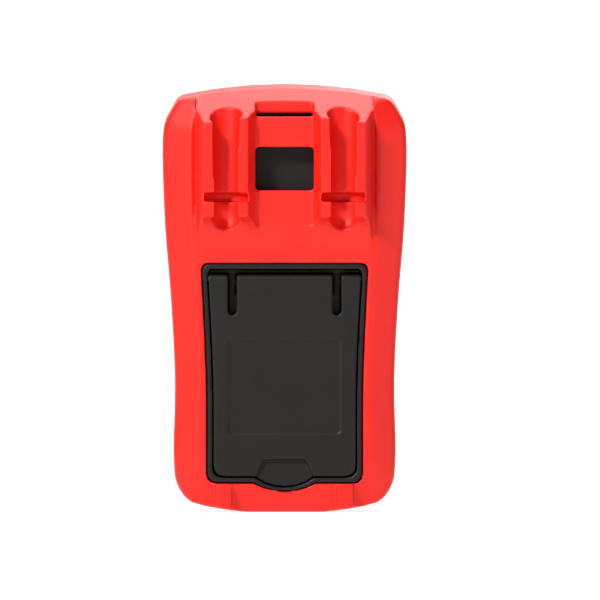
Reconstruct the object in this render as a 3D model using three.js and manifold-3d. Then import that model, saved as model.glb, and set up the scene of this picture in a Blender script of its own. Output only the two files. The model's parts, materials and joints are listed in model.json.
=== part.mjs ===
// Handheld electrical tester in a moulded holster: two probe holders, a strap bar and a tilt stand
// on the back, a display, a selector knob, keys and input jacks on the front.
// Millimetres. +Z runs along the tester with its base at Z = 0, the back faces -Y, the display +Y.
import * as THREE from "three";
import { mergeVertices } from "three/addons/utils/BufferGeometryUtils.js";
import Module from "manifold-3d";

const wasm = await Module();
wasm.setup();

// ---- Driving dimensions -------------------------------------------------------------------------
const LENGTH = 134;
const WIDTH = 76.4;
const DEPTH = 46;
const GAP = 0.3; // clearance between neighbouring pieces
const PAST = 1; // how far a cutting solid reaches past the face it cuts

// Planes across the depth, from the back (-Y) to the front (+Y)
const lipY = -DEPTH / 2; // crests of the probe holders
const pedestalY = lipY + 4; // raised ground around the holders
const valleyY = lipY + 5.2; // floor between the two holders
const backY = lipY + 7.5; // back of the holster around the stand
const cavityY = backY + 4; // inside face of the holster's back
const partingY = cavityY + 11.5; // joint between the two case halves
const boardY = partingY + 6.2; // rear face of the circuit board
const knobY = DEPTH / 2; // crest of the selector knob
const rimY = knobY - 1.5; // front edge of the holster
const faceY = rimY - 1.3; // front face of the case
const retainY = rimY - 2.5; // back of the holster's front lip

// Holster
const holsterWall = 3;
const frontLip = 2.5; // how far the front lip covers the case
// Chamfer round the back, with a soft edge. At the crown it is only this share as wide.
const shoulder = { inset: 8.5, edge: 1.2, drop: 4.2, crownShare: 0.35 };
const crownDrop = 1.5; // how far the back half's crown stays below the front half's
const frontRound = 2.5;
const baseFlat = 24;

// Roof: the bevel over the holders, a shallow arch of this radius across the width
const roof = { radius: 175, lipZ: LENGTH - 10.8, slope: 0.52, breakY: lipY + 17.7, endY: lipY + 26 };

// Probe holders
const holder = {
  x: 18.3, // distance of each holder's axis from the middle
  depth: 2.9, // depth of that axis below the crests
  mouthR: 5.15,
  footR: 4.55,
  footZ: LENGTH - 47.1,
  outer: 25.3, // outer flank at the crest
  inner: 11.4, // inner flank at the crest
  draft: 2.3, // outer flank's spread at the base
  endZ: LENGTH - 42,
  guardZ: LENGTH - 35.8, // middle of the finger guard slot
  guardHeight: 2.8,
  guardR: 6.9,
};
const blockHalf = holder.outer + holder.draft;
const slopeTop = LENGTH - 45.5;
const slopeFoot = LENGTH - 55.9;

// Strap bar between the holders
const strap = {
  half: 9.1,
  windowLow: LENGTH - 33.6,
  windowHigh: LENGTH - 20.1,
  barTop: LENGTH - 10.6,
  slitTop: LENGTH - 9.4,
  recessTop: LENGTH - 5,
  barThick: 2.5,
  backWall: 1.8,
};

// Stand opening in the holster, and what sits in it
const opening = {
  low: 8.9,
  high: LENGTH - 56.2,
  topHalf: 26.1,
  waistHalf: 24.5,
  bulge: 2.3, // how far the finger notch hangs below the low edge
  bulgeHalf: 9.8,
};
const frameWall = 1.5;
const frameY = backY + 0.3;
const standThick = 2.7;
const standAxis = { y: backY + 1.8, z: opening.high - 5 };
const standSide = 0.45; // side clearance of the stand in its frame
const standFloorY = standAxis.y + standThick / 2 + 0.35;
const pivotR = 0.95;
const standSlot = { from: 14.9, to: 17.7, low: opening.high - 16.3 }; // the two slots at its top
const trenchY = standFloorY + 1.8; // deeper ground under the slots and the knuckle

// Case and battery bay
const caseWall = 2;
const caseInset = holsterWall + GAP;
const faceInset = holsterWall + frontLip + GAP;
const cell = { r: 5.2, length: 44.5, apart: 0.8, nubR: 1.9, nub: 1.1 };
const cellX = cell.r + cell.apart / 2;
const doorThick = 1.4;
const bay = {
  half: cellX + cell.r + 0.6,
  low: 13.4,
  high: 13.4 + cell.length + 5.5,
  wall: 1.5,
  floorY: standFloorY + doorThick + 2 * cell.r + 0.9 + GAP,
};
const door = { half: bay.half + 3.2, low: 12.6, high: bay.high + 6, screwZ: bay.high + 3.2 };
const postR = 3;
const screwPosts = [
  { x: door.half + postR + 0.9, z: 24 },
  { x: 26, z: LENGTH - 13 },
];

// Circuit board and what stands on it
const boardThick = 1.6;
const boardFront = boardY + boardThick;

// Front face
const faceBackY = faceY - 3.5; // inner side of the front housing's face
const selector = { z: 48.5, r: 17.2, wellR: 18.8, wellY: faceY - 2, stemR: 5, carrierR: 12.5 };
const display = { z: LENGTH - 34, halfX: 27.7, halfZ: 16.7, thick: 1.4, viewX: 25, viewZ: 14.5 };
const key = { z: LENGTH - 58, half: 4.8, halfZ: 2.7, pitch: 13.5, count: 4, travel: 0.8, proud: 0.9 };
const jack = { z: 15.5, pitch: 18, collarR: 5.2, tubeR: 4, sleeveR: 2.8, boreR: 2.05, proud: 1 };
const overlay = { half: 27.3, low: 24, high: 71.8, thick: 0.6 };

// ---- Tools --------------------------------------------------------------------------------------
const { Vector2, Vector3 } = THREE;

// Turns a sweep made along its own +Z so that it runs along a world axis. The outline's two
// coordinates become (y, z) for X, (x, z) for Y and (x, y) for Z.
const [unitX, unitY, unitZ] = [new Vector3(1, 0, 0), new Vector3(0, 1, 0), new Vector3(0, 0, 1)];
const turns = {
  X: new THREE.Matrix4().makeBasis(unitY, unitZ, unitX),
  Y: new THREE.Matrix4().makeBasis(unitX, unitZ, unitY.clone().negate()),
  Z: new THREE.Matrix4(),
};

function solid(geometry) {
  const bare = geometry.clone();
  bare.deleteAttribute("normal");
  bare.deleteAttribute("uv");
  const merged = mergeVertices(bare, 1e-4);
  return new wasm.Manifold(
    new wasm.Mesh({
      numProp: 3,
      vertProperties: merged.attributes.position.array,
      triVerts: new Uint32Array(merged.index.array),
    }),
  );
}

// A closed outline swept along one axis from one place to another.
function sweep(axis, outline, from, to, curveSegments = 2) {
  const shape = outline instanceof THREE.Shape ? outline : new THREE.Shape(outline);
  const depth = to - from;
  const geometry = new THREE.ExtrudeGeometry(shape, { depth, bevelEnabled: false, curveSegments });
  geometry.applyMatrix4(turns[axis]);
  if (axis === "X") geometry.translate(from, 0, 0);
  if (axis === "Y") geometry.translate(0, to, 0);
  if (axis === "Z") geometry.translate(0, 0, from);
  return solid(geometry);
}

function box(x0, x1, y0, y1, z0, z1) {
  const geometry = new THREE.BoxGeometry(x1 - x0, y1 - y0, z1 - z0);
  return solid(geometry.translate((x0 + x1) / 2, (y0 + y1) / 2, (z0 + z1) / 2));
}

// A round rod along an axis. The two places are those of the outline in sweep().
function rod(axis, r, from, to, a = 0, b = 0, sides = 20) {
  const circle = new THREE.Shape();
  circle.absarc(a, b, r, 0, Math.PI * 2);
  return sweep(axis, circle, from, to, sides / 2);
}

// A profile of [radius, height] turned about an axis along Z, or along Y.
function turned(profile, axis, sides = 20) {
  const points = profile.map(([r, h]) => new Vector2(r, h));
  const geometry = new THREE.LatheGeometry(points, sides);
  if (axis === "Z") geometry.rotateX(Math.PI / 2);
  return solid(geometry);
}

function roundedRect(x0, x1, z0, z1, r) {
  const shape = new THREE.Shape();
  shape.absarc(x1 - r, z0 + r, r, -Math.PI / 2, 0);
  shape.absarc(x1 - r, z1 - r, r, 0, Math.PI / 2);
  shape.absarc(x0 + r, z1 - r, r, Math.PI / 2, Math.PI);
  shape.absarc(x0 + r, z0 + r, r, Math.PI, Math.PI * 1.5);
  shape.closePath();
  return shape;
}

const joined = (pieces) => pieces.reduce((all, piece) => all.add(piece));
const mirrored = (make) => make(-1).add(make(1));

function part(name, body, material, x = 0, y = 0, z = 0) {
  const { vertProperties, triVerts } = body.getMesh();
  const geometry = new THREE.BufferGeometry();
  geometry.setAttribute("position", new THREE.BufferAttribute(vertProperties, 3));
  geometry.setIndex(new THREE.BufferAttribute(triVerts, 1));
  const mesh = new THREE.Mesh(geometry, material.clone());
  mesh.name = name;
  mesh.position.set(x, y, z);
  return mesh;
}

const finish = (color, roughness, metalness = 0) =>
  new THREE.MeshStandardMaterial({ color, roughness, metalness });
const redShell = finish(0xe8231f, 0.55);
const darkShell = finish(0x2f2d2d, 0.5);
const darkKnob = finish(0x3a3838, 0.45);
const greyKey = finish(0x8b8d8f, 0.6);
const steel = finish(0xa9abad, 0.35, 1);
const brass = finish(0xc9a24a, 0.35, 1);
const whitePlastic = finish(0xe9e7e0, 0.5);
const greenBoard = finish(0x1f5a35, 0.5);
const clearLens = finish(0xcfd8d8, 0.1);

// ---- Outlines -----------------------------------------------------------------------------------
// Mirrors the right half of an outline, given from the bottom to the top.
function fromHalf(points) {
  const left = points.filter((p) => p.x > 0).map((p) => new Vector2(-p.x, p.y));
  return [...points, ...left.reverse()];
}

// The tester seen from the back, drawn in evenly by an inset on every side.
function bodyOutline(inset, fineness = 2) {
  const half = WIDTH / 2;
  const mid = LENGTH / 2;
  const right = new THREE.Path();
  right.moveTo(baseFlat / 2, 0);
  right.quadraticCurveTo(half - 14.7, 1, half - 9.1, 3);
  right.quadraticCurveTo(half - 5.4, 5, half - 3.9, 10.5);
  const side = [
    [3.45, 0.153 * LENGTH],
    [3.9, 0.306 * LENGTH],
    [2.7, 0.49 * LENGTH],
    [0.8, 0.667 * LENGTH],
    [0, LENGTH - 23],
    [0.3, LENGTH - 13.3],
  ];
  right.splineThru(side.map(([dent, z]) => new Vector2(half - dent, z)));
  right.quadraticCurveTo(half - 0.9, LENGTH - 10.5, half - 2.3, LENGTH - 8.3);
  right.lineTo(half - 4.3, LENGTH - 4.7);
  right.quadraticCurveTo(half - 5, LENGTH - 3.6, half - 6.7, LENGTH - 3.2);
  right.quadraticCurveTo(half * 0.42, LENGTH, 0, LENGTH);
  const [sx, sz] = [(half - inset) / half, (mid - inset) / mid];
  const points = right.getPoints(fineness).map((p) => new Vector2(p.x * sx, mid + (p.y - mid) * sz));
  return fromHalf(points);
}

// The stand's opening, drawn in by an inset.
function openingOutline(inset) {
  const low = opening.low + inset;
  const high = opening.high - inset;
  const bottom = low - opening.bulge - 0.4 * inset;
  const half = opening.waistHalf - inset;
  const top = opening.topHalf - inset;
  const right = new THREE.Path();
  right.moveTo(0, bottom);
  right.quadraticCurveTo(opening.bulgeHalf * 0.55, bottom, opening.bulgeHalf - 0.3 * inset, low);
  right.lineTo(half - 3.5, low);
  right.quadraticCurveTo(half, low, half, low + 3.5);
  const rise = high - low;
  right.splineThru([
    new Vector2(half, low + 0.4 * rise),
    new Vector2((2 * half + top) / 3, low + 0.66 * rise),
    new Vector2(top, high - 2.5),
  ]);
  right.quadraticCurveTo(top, high, top - 2.2, high);
  right.lineTo(0, high);
  return fromHalf(right.getPoints(3));
}

const caseSolid = (inset, y0, y1) => sweep("Y", bodyOutline(inset), y0, y1);

// What lies above the bevelled roof, the roof being sunk by an offset. It is turned about an axis
// along Y, far below, so that the roof arches across the width.
function aboveRoof(offset, half) {
  const sink = offset * Math.hypot(1, roof.slope);
  const centreZ = LENGTH - roof.radius;
  const radiusAt = (z) => z - centreZ - sink;
  const breakZ = roof.lipZ + roof.slope * (roof.breakY - lipY);
  const startY = lipY - PAST;
  const ring = turned(
    [
      [radiusAt(roof.lipZ - roof.slope * PAST), startY],
      [radiusAt(LENGTH + 20), startY],
      [radiusAt(LENGTH + 20), roof.endY],
      [radiusAt(LENGTH), roof.endY],
      [radiusAt(breakZ), roof.breakY],
      [radiusAt(roof.lipZ - roof.slope * PAST), startY],
    ],
    "Y",
    160,
  ).translate(0, 0, centreZ);
  return ring.intersect(box(-half, half, startY, roof.endY + PAST, 0.6 * LENGTH, LENGTH + 5));
}

// ---- Holster ------------------------------------------------------------------------------------
// The outer body: a sweep along Y whose layers draw in towards the back and the front edge, and
// whose crown rises from the back half to the front half.
function holsterBody() {
  const { inset, edge, drop } = shoulder;
  const front = [90, 45, 0].map((degrees) => {
    const a = THREE.MathUtils.degToRad(degrees);
    return [rimY - frontRound * (1 - Math.sin(a)), frontRound * (1 - Math.cos(a)), 0];
  });
  const layers = [
    ...front,
    [roof.endY, 0, 0],
    [roof.breakY, 0, crownDrop],
    [backY + drop + edge + 0.6, 0, crownDrop],
    [backY + drop + edge / 2, edge * 0.3, crownDrop],
    [backY + drop, edge, crownDrop],
    [backY, inset, crownDrop],
  ];
  const steps = layers.length - 1;
  const shape = new THREE.Shape(bodyOutline(0, 3));
  const geometry = new THREE.ExtrudeGeometry(shape, { depth: steps, steps, bevelEnabled: false });
  geometry.applyMatrix4(turns.Y);
  const place = geometry.getAttribute("position");
  const crownFoot = 0.8 * LENGTH;
  for (let i = 0; i < place.count; i += 1) {
    const [y, drawIn, lowered] = layers[Math.round(-place.getY(i))];
    const rise = Math.max(0, (place.getZ(i) - crownFoot) / (LENGTH - crownFoot));
    const upright = place.getZ(i) - lowered * rise - LENGTH / 2;
    const share = upright > 0 && y < roof.breakY ? shoulder.crownShare : 1;
    const drawnX = place.getX(i) * (1 - (2 * drawIn) / WIDTH);
    place.setXYZ(i, drawnX, y, LENGTH / 2 + upright * (1 - (2 * drawIn * share) / LENGTH));
  }
  return solid(geometry);
}

// The drafted flanks shared by the raised ground and the holders, swept up the tester.
function flankSection(inner, innerBase) {
  const section = [
    new Vector2(holder.outer, lipY),
    new Vector2(blockHalf, backY + PAST),
    new Vector2(blockHalf, backY + shoulder.drop),
    new Vector2(innerBase, backY + shoulder.drop),
    new Vector2(innerBase, valleyY),
    new Vector2(inner, lipY),
  ];
  return sweep("Z", section, slopeFoot - PAST, LENGTH + PAST);
}

// All that stands on the back around the holders. Its foot falls in a hollow curve to the back.
function hollowFoot() {
  const profile = new THREE.Shape();
  profile.moveTo(backY + shoulder.drop, slopeFoot);
  profile.lineTo(backY, slopeFoot);
  profile.quadraticCurveTo(backY - 0.3, holder.endZ - 1.5, lipY, holder.endZ);
  profile.lineTo(lipY, LENGTH + PAST);
  profile.lineTo(backY + shoulder.drop, LENGTH + PAST);
  profile.closePath();
  return sweep("X", profile, -WIDTH / 2, WIDTH / 2, 8);
}

// Raised ground between and under the holders.
function pedestal() {
  const flanks = mirrored((side) => flankSection(-PAST, -PAST).scale([side, 1, 1]));
  const inside = caseSolid(crownDrop + GAP, pedestalY, backY + shoulder.drop);
  return hollowFoot().intersect(flanks).intersect(inside);
}

// One holder's block before its bore.
function tower(side) {
  return hollowFoot().intersect(flankSection(holder.inner, strap.half + 0.1).scale([side, 1, 1]));
}

// Bore for a probe's grip, tapering to a ball end, and the slot for its finger guard.
function probeBore(side) {
  const arc = [-90, -60, -30, 0].map((degrees) => {
    const a = THREE.MathUtils.degToRad(degrees);
    return [holder.footR * Math.cos(a), holder.footZ + holder.footR * (1 + Math.sin(a))];
  });
  arc[0][0] = 0;
  const bore = turned([...arc, [holder.mouthR, LENGTH + 2], [0, LENGTH + 2]], "Z", 28);
  const axisY = lipY + holder.depth;
  const low = holder.guardZ - holder.guardHeight / 2;
  const high = low + holder.guardHeight;
  const guard = rod("Z", holder.guardR, low, high, 0, 0, 28);
  const slot = box(-holder.guardR, holder.guardR, -holder.depth - PAST, 0, low, high);
  const reach = holder.guardR + PAST;
  const openEnds = box(-reach, reach, -holder.depth - PAST, 0.9 - holder.depth, low, high);
  return joined([bore, guard, slot, openEnds]).translate(side * holder.x, axisY, 0);
}

// Shallow groove between a holder's outer flank and the holster's shoulder.
function flankGroove(side) {
  const section = [
    new Vector2(blockHalf - 0.3, backY - PAST),
    new Vector2(blockHalf, backY + 1.3),
    new Vector2(blockHalf + 1.9, backY - PAST),
  ];
  const fade = [
    new Vector2(backY - PAST, slopeFoot + 4),
    new Vector2(backY - PAST, LENGTH + PAST),
    new Vector2(backY + 1.4, LENGTH + PAST),
    new Vector2(backY + 1.4, slopeTop + 14),
  ];
  const length = sweep("Z", section, slopeFoot, LENGTH + PAST).scale([side, 1, 1]);
  return length.intersect(sweep("X", fade, -WIDTH / 2, WIDTH / 2));
}

// Valley floor, strap recess, slit and window. The strap goes in at the slit, down behind the bar
// and out through the window.
function strapCuts() {
  const { half, windowLow, windowHigh, barTop, slitTop } = strap;
  const floorTop = strap.recessTop;
  const valley = roundedRect(-half - 0.3, half + 0.3, slopeTop + 0.4, floorTop, 1.2);
  const window = roundedRect(-half, half, windowLow, windowHigh, 1);
  const slit = roundedRect(-half, half, barTop, slitTop, (slitTop - barTop) / 2 - 0.01);
  const behindBar = valleyY + strap.barThick;
  const through = cavityY + PAST;
  return joined([
    sweep("Y", valley, lipY - PAST, valleyY),
    box(-half, half, lipY, cavityY - strap.backWall, slitTop, floorTop),
    box(-half, half, behindBar, through, windowLow, slitTop),
    sweep("Y", window, lipY, through),
    sweep("Y", slit, lipY, through),
  ]);
}

// Two ribs that carry the plane of the back down to the base.
function baseRib(side) {
  const [x0, x1] = [side * 16.5, side * 21.5].sort((a, b) => a - b);
  return box(x0, x1, backY, backY + shoulder.drop + 2, 0, opening.low + 2).intersect(
    caseSolid(GAP, backY - PAST, partingY),
  );
}

function holster() {
  const grooves = mirrored(flankGroove);
  const cavity = caseSolid(holsterWall, cavityY, retainY).subtract(aboveRoof(holsterWall, WIDTH));
  const mouth = caseSolid(holsterWall + frontLip, retainY - PAST, rimY + PAST);
  return holsterBody()
    .subtract(grooves)
    .add(joined([pedestal(), mirrored(tower), mirrored(baseRib)]))
    .subtract(aboveRoof(0, blockHalf + GAP))
    .subtract(mirrored(probeBore))
    .subtract(strapCuts())
    .subtract(joined([cavity, mouth, sweep("Y", openingOutline(0), backY - PAST, cavityY + PAST)]));
}

// ---- Case ---------------------------------------------------------------------------------------
const posts = screwPosts.flatMap(({ x, z }) => [
  { x: -x, z },
  { x, z },
]);
const rearFaceY = cavityY + GAP;

function rearHousing() {
  const innerY = rearFaceY + caseWall;
  const endY = partingY - GAP / 2;
  const inset = caseInset + caseWall;
  const shell = caseSolid(caseInset, rearFaceY, endY).subtract(aboveRoof(caseInset, WIDTH));
  const hollow = caseSolid(inset, innerY, endY + PAST).subtract(aboveRoof(inset, WIDTH));
  const frame = sweep("Y", openingOutline(0.35), frameY, innerY);
  const bayBox = box(
    -bay.half - bay.wall,
    bay.half + bay.wall,
    innerY - PAST,
    bay.floorY + bay.wall,
    bay.low - bay.wall,
    bay.high + bay.wall,
  );
  const tallPosts = posts.map(({ x, z }) => rod("Y", postR + 0.6, innerY - PAST, endY, x, z, 16));
  const screwBoss = rod("Y", 2.7, innerY - PAST, innerY + 5, 0, door.screwZ + 1.2, 16);
  const recess = sweep("Y", openingOutline(0.35 + frameWall), frameY - PAST, standFloorY);
  const trenchTop = opening.high - 0.35 - frameWall;
  const slotTrench = box(standSlot.from, standSlot.to, frameY, trenchY, standSlot.low, trenchTop);
  const edge = opening.topHalf - 2.5;
  const knuckleTrench = box(-edge, edge, frameY, trenchY, standAxis.z + standThick / 2, trenchTop);
  const seat = roundedRect(-door.half - GAP, door.half + GAP, door.low - GAP, door.high + GAP, 2);
  const postHoles = posts.flatMap(({ x, z }) => [
    rod("Y", 2.7, frameY - PAST, innerY + 2.9, x, z, 16),
    rod("Y", 1.5, frameY - PAST, endY + PAST, x, z, 12),
  ]);
  return shell
    .subtract(hollow)
    .add(joined([frame, bayBox, screwBoss, ...tallPosts]))
    .subtract(
      joined([
        aboveRoof(caseInset, WIDTH),
        recess,
        slotTrench,
        slotTrench.scale([-1, 1, 1]),
        knuckleTrench,
        sweep("Y", seat, frameY, standFloorY + doorThick + GAP),
        box(-bay.half, bay.half, frameY, bay.floorY, bay.low, bay.high),
        rod("Y", 1.4, frameY, innerY + 4, 0, door.screwZ, 12),
        rod("X", pivotR + 0.25, -WIDTH / 2 + 12, WIDTH / 2 - 12, standAxis.y, standAxis.z, 16),
        ...postHoles,
      ]),
    );
}

function frontHousing() {
  const startY = partingY + GAP / 2;
  const flangeY = retainY - GAP;
  const inset = caseInset + caseWall;
  const shell = caseSolid(caseInset, startY, flangeY)
    .subtract(aboveRoof(caseInset, WIDTH))
    .add(caseSolid(faceInset, roof.endY, faceY));
  const hollow = caseSolid(inset, startY - PAST, faceBackY).subtract(aboveRoof(inset, WIDTH));
  const ringY = boardFront + 2.4;
  const detentRing = rod("Y", selector.carrierR + 3.3, ringY, faceBackY + PAST, 0, selector.z, 36);
  const detentBore = rod("Y", selector.carrierR + 1.9, ringY - PAST, faceBackY, 0, selector.z, 36);
  const pillars = posts.map(({ x, z }) => rod("Y", postR, startY, faceBackY + PAST, x, z, 16));
  const pillarHoles = posts.map(({ x, z }) => rod("Y", 1.5, startY - PAST, startY + 8, x, z, 12));
  const { halfX, halfZ, viewX, viewZ, thick } = display;
  const lensSeat = roundedRect(
    -halfX - GAP,
    halfX + GAP,
    display.z - halfZ - GAP,
    display.z + halfZ + GAP,
    3,
  );
  const view = roundedRect(-viewX, viewX, display.z - viewZ, display.z + viewZ, 2);
  const overlaySeat = roundedRect(
    -overlay.half - GAP,
    overlay.half + GAP,
    overlay.low - GAP,
    overlay.high + GAP,
    3,
  );
  return shell
    .subtract(hollow)
    .add(joined([detentRing, ...pillars]))
    .subtract(
      joined([
        detentBore,
        ...pillarHoles,
        sweep("Y", lensSeat, faceY - thick - 2 * GAP, faceY + PAST),
        sweep("Y", view, faceBackY - PAST, faceY),
        sweep("Y", overlaySeat, faceY - overlay.thick - GAP, faceY + PAST),
        rod("Y", selector.wellR, selector.wellY, faceY + PAST, 0, selector.z, 48),
        rod("Y", selector.stemR + GAP, faceBackY - PAST, faceY, 0, selector.z, 24),
        ...keyPlaces.map(keyHole),
        ...jackPlaces.map((x) =>
          rod("Y", jack.collarR + GAP, faceBackY - PAST, faceY + PAST, x, jack.z, 24),
        ),
      ]),
    );
}

function displayWindow() {
  const { halfX, halfZ, thick } = display;
  const outline = roundedRect(-halfX, halfX, -halfZ, halfZ, 2.7);
  return sweep("Y", outline, faceY - thick - GAP, faceY - GAP);
}

function faceOverlay() {
  const plate = roundedRect(-overlay.half, overlay.half, overlay.low, overlay.high, 2.7);
  return sweep("Y", plate, faceY - overlay.thick, faceY).subtract(
    rod("Y", selector.wellR + GAP, faceY - 2, faceY + PAST, 0, selector.z, 48),
  );
}

// ---- Tilt stand ---------------------------------------------------------------------------------
function tiltStand() {
  const reach = 0.35 + frameWall + standSide;
  const outerY = standAxis.y - standThick / 2;
  const innerY = standAxis.y + standThick / 2;
  const plate = sweep("Y", openingOutline(reach), outerY, innerY);
  const nose = rod("X", standThick / 2, -WIDTH / 2, WIDTH / 2, standAxis.y, standAxis.z, 16);
  const below = box(-WIDTH / 2, WIDTH / 2, outerY - PAST, innerY + PAST, 0, standAxis.z);
  const sideHalf = opening.topHalf - reach - 0.25;
  const stub = frameWall - 0.35;
  const stubs = rod("X", pivotR, -sideHalf - stub, sideHalf + stub, standAxis.y, standAxis.z, 14);
  const slot = (side) => {
    const [x0, x1] = [side * standSlot.from, side * standSlot.to].sort((a, b) => a - b);
    const shape = roundedRect(x0, x1, standSlot.low, opening.high + 5, 1.39);
    return sweep("Y", shape, outerY - PAST, innerY + PAST);
  };
  const labelLow = opening.low + 15.4;
  const label = roundedRect(-17.7, 17.7, labelLow, opening.high - 23.6, 1.5);
  const pull = [
    new Vector2(9.3, opening.low - 3),
    new Vector2(8.9, opening.low + 2.5),
    new Vector2(6.5, opening.low + 7.4),
    new Vector2(-6.5, opening.low + 7.4),
    new Vector2(-8.9, opening.low + 2.5),
    new Vector2(-9.3, opening.low - 3),
  ];
  const scoopDepth = [
    new Vector2(outerY - PAST, opening.low - 4),
    new Vector2(outerY + 0.5, opening.low - 4),
    new Vector2(outerY + 1.6, opening.low + 8),
    new Vector2(outerY - PAST, opening.low + 8),
  ];
  const scoop = sweep("Y", pull, outerY - PAST, innerY).intersect(sweep("X", scoopDepth, -12, 12));
  const pocketLow = opening.low + 9.5;
  const pocketStep = (opening.high - 18.5 - pocketLow) / 3;
  const pockets = [0, 1, 2].flatMap((row) =>
    [-1, 1].map((side) => {
      const [x0, x1] = [side * 0.7, side * 19.5].sort((a, b) => a - b);
      const z0 = pocketLow + row * pocketStep;
      const cutter = roundedRect(x0, x1, z0, z0 + pocketStep - 1.4, 1.2);
      return sweep("Y", cutter, innerY - 1.2, innerY + PAST, 2);
    }),
  );
  return plate
    .intersect(below.add(nose))
    .add(stubs)
    .subtract(
      joined([
        slot(-1),
        slot(1),
        sweep("Y", label, outerY - PAST, outerY + 0.3),
        scoop,
        ...pockets,
      ]),
    );
}

// ---- Battery bay --------------------------------------------------------------------------------
function batteryDoor() {
  const plate = roundedRect(-door.half, door.half, door.low, door.high, 1.7);
  const outer = standFloorY;
  const ribs = [0, 1, 2, 3].map((i) => {
    const z = door.low + 5 + i * 3;
    return box(-8, 8, outer - PAST, outer + 0.4, z, z + 1.2);
  });
  return sweep("Y", plate, outer, outer + doorThick).subtract(
    joined([
      rod("Y", 2.7, outer - PAST, outer + 1.05, 0, door.screwZ, 20),
      rod("Y", 1.4, outer - PAST, outer + doorThick + PAST, 0, door.screwZ, 12),
      ...ribs,
    ]),
  );
}

// A pan-head screw along +Y with its head's top at 0 and a cross recess.
function screw(headR, headThick, shankR, length) {
  const profile = [
    [0, 0],
    [headR * 0.8, 0],
    [headR, headThick * 0.5],
    [headR, headThick],
    [shankR, headThick],
    [shankR, length - shankR],
    [0, length],
  ];
  const arm = headR * 0.55;
  const cross = box(-arm, arm, -PAST, headThick * 0.6, -0.3, 0.3).add(
    box(-0.3, 0.3, -PAST, headThick * 0.6, -arm, arm),
  );
  return turned(profile, "Y", 16).subtract(cross);
}

// A cell standing on its flat end at 0, with its nub at the top.
function batteryCell() {
  const { r, length, nubR, nub } = cell;
  return turned(
    [
      [0, 0],
      [r - 0.5, 0],
      [r, 0.5],
      [r, length - nub - 0.5],
      [r - 0.5, length - nub],
      [nubR, length - nub],
      [nubR, length],
      [0, length],
    ],
    "Z",
    20,
  );
}

// A coil contact standing on its wide end at 0.
function coilContact() {
  class Coil extends THREE.Curve {
    getPoint(t) {
      const a = t * Math.PI * 2 * 2.5;
      const r = 3.2 - 1.2 * t;
      return new Vector3(r * Math.cos(a), r * Math.sin(a), 0.35 + 2.4 * t);
    }
  }
  const wire = new THREE.Shape();
  wire.absarc(0, 0, 0.33, 0, Math.PI * 2);
  const extrudePath = new Coil();
  return solid(new THREE.ExtrudeGeometry(wire, { steps: 34, curveSegments: 3, extrudePath }));
}

// ---- Electronics --------------------------------------------------------------------------------
function circuitBoard() {
  const around = (place) => rod("Y", postR + GAP, boardY - PAST, boardFront + PAST, place.x, place.z, 16);
  return caseSolid(caseInset + caseWall + 2.5, boardY, boardFront).subtract(
    joined([
      ...posts.map(around),
      ...jackPlaces.map((x) =>
        rod("Y", jack.sleeveR + GAP, boardY - PAST, boardFront + PAST, x, jack.z, 20),
      ),
    ]),
  );
}

const onBoard = boardFront + GAP;

function lcdFrame() {
  const { halfX, halfZ } = display;
  const at = (x, z, y0, y1) => box(-x, x, y0, y1, -z, z);
  return at(halfX + 1, halfZ + 1, onBoard, onBoard + 7.6).subtract(
    at(halfX - 0.4, halfZ - 0.4, onBoard - PAST, onBoard + 6.3).add(
      at(halfX - 2.4, halfZ - 3, onBoard, onBoard + 9),
    ),
  );
}

const lcdGlass = () =>
  box(-27, 27, onBoard + 3.9, onBoard + 6, 0.7 - display.halfZ, display.halfZ - 0.7);
const backlight = () => box(-25, 25, onBoard, onBoard + 2.9, 4 - display.halfZ, display.halfZ - 4);
const contactStrip = () => box(-25, 25, onBoard, onBoard + 3.6, -0.8, 0.8);

function buzzer() {
  return turned(
    [
      [1.2, 0],
      [6.2, 0],
      [6.8, 0.6],
      [6.8, 5],
      [0, 5],
      [0, 2],
      [1.2, 2],
      [1.2, 0],
    ],
    "Y",
    24,
  );
}

function fuse() {
  const caps = (z) => rod("Z", 2.6, z, z + 5, 0, 0, 16);
  return rod("Z", 2.3, 0.5, 19.5, 0, 0, 16).add(caps(0)).add(caps(15));
}

// A sprung clip whose two arms hold the fuse's cap.
function fuseClip() {
  const outer = roundedRect(-3.6, 3.6, -2.6, 3.4, 1.2);
  const inner = roundedRect(-2.9, 2.9, -4, 2.9, 1);
  return sweep("Z", outer, -2, 2, 3).subtract(sweep("Z", inner, -3, 3, 3));
}

// ---- Selector, keys and jacks -------------------------------------------------------------------
const keyPlaces = Array.from({ length: key.count }, (_, i) => (i - (key.count - 1) / 2) * key.pitch);
const jackPlaces = [-jack.pitch, 0, jack.pitch];

function selectorKnob() {
  const back = selector.wellY + GAP;
  const { r, stemR } = selector;
  const crown = knobY - 1.6;
  const body = turned(
    [
      [0, boardFront + 2],
      [stemR - 2, boardFront + 2],
      [stemR - 2, boardFront + 4.6],
      [stemR, boardFront + 4.6],
      [stemR, back],
      [r, back],
      [r, back + 1],
      [r - 1.4, crown],
      [0, crown],
    ],
    "Y",
    36,
  );
  const grip = roundedRect(-4.2, 4.2, -r + 1.6, r - 1.6, 3.2);
  const grooves = Array.from({ length: 18 }, (_, i) => {
    const a = ((i + 0.5) * Math.PI) / 9;
    return rod("Y", 0.6, back - PAST, knobY, (r + 0.15) * Math.cos(a), (r + 0.15) * Math.sin(a), 6);
  });
  const pointer = box(-0.5, 0.5, knobY - 0.4, knobY + PAST, r - 9, r);
  return body
    .add(sweep("Y", grip, crown - PAST, knobY))
    .subtract(joined([...grooves, pointer]));
}

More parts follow.
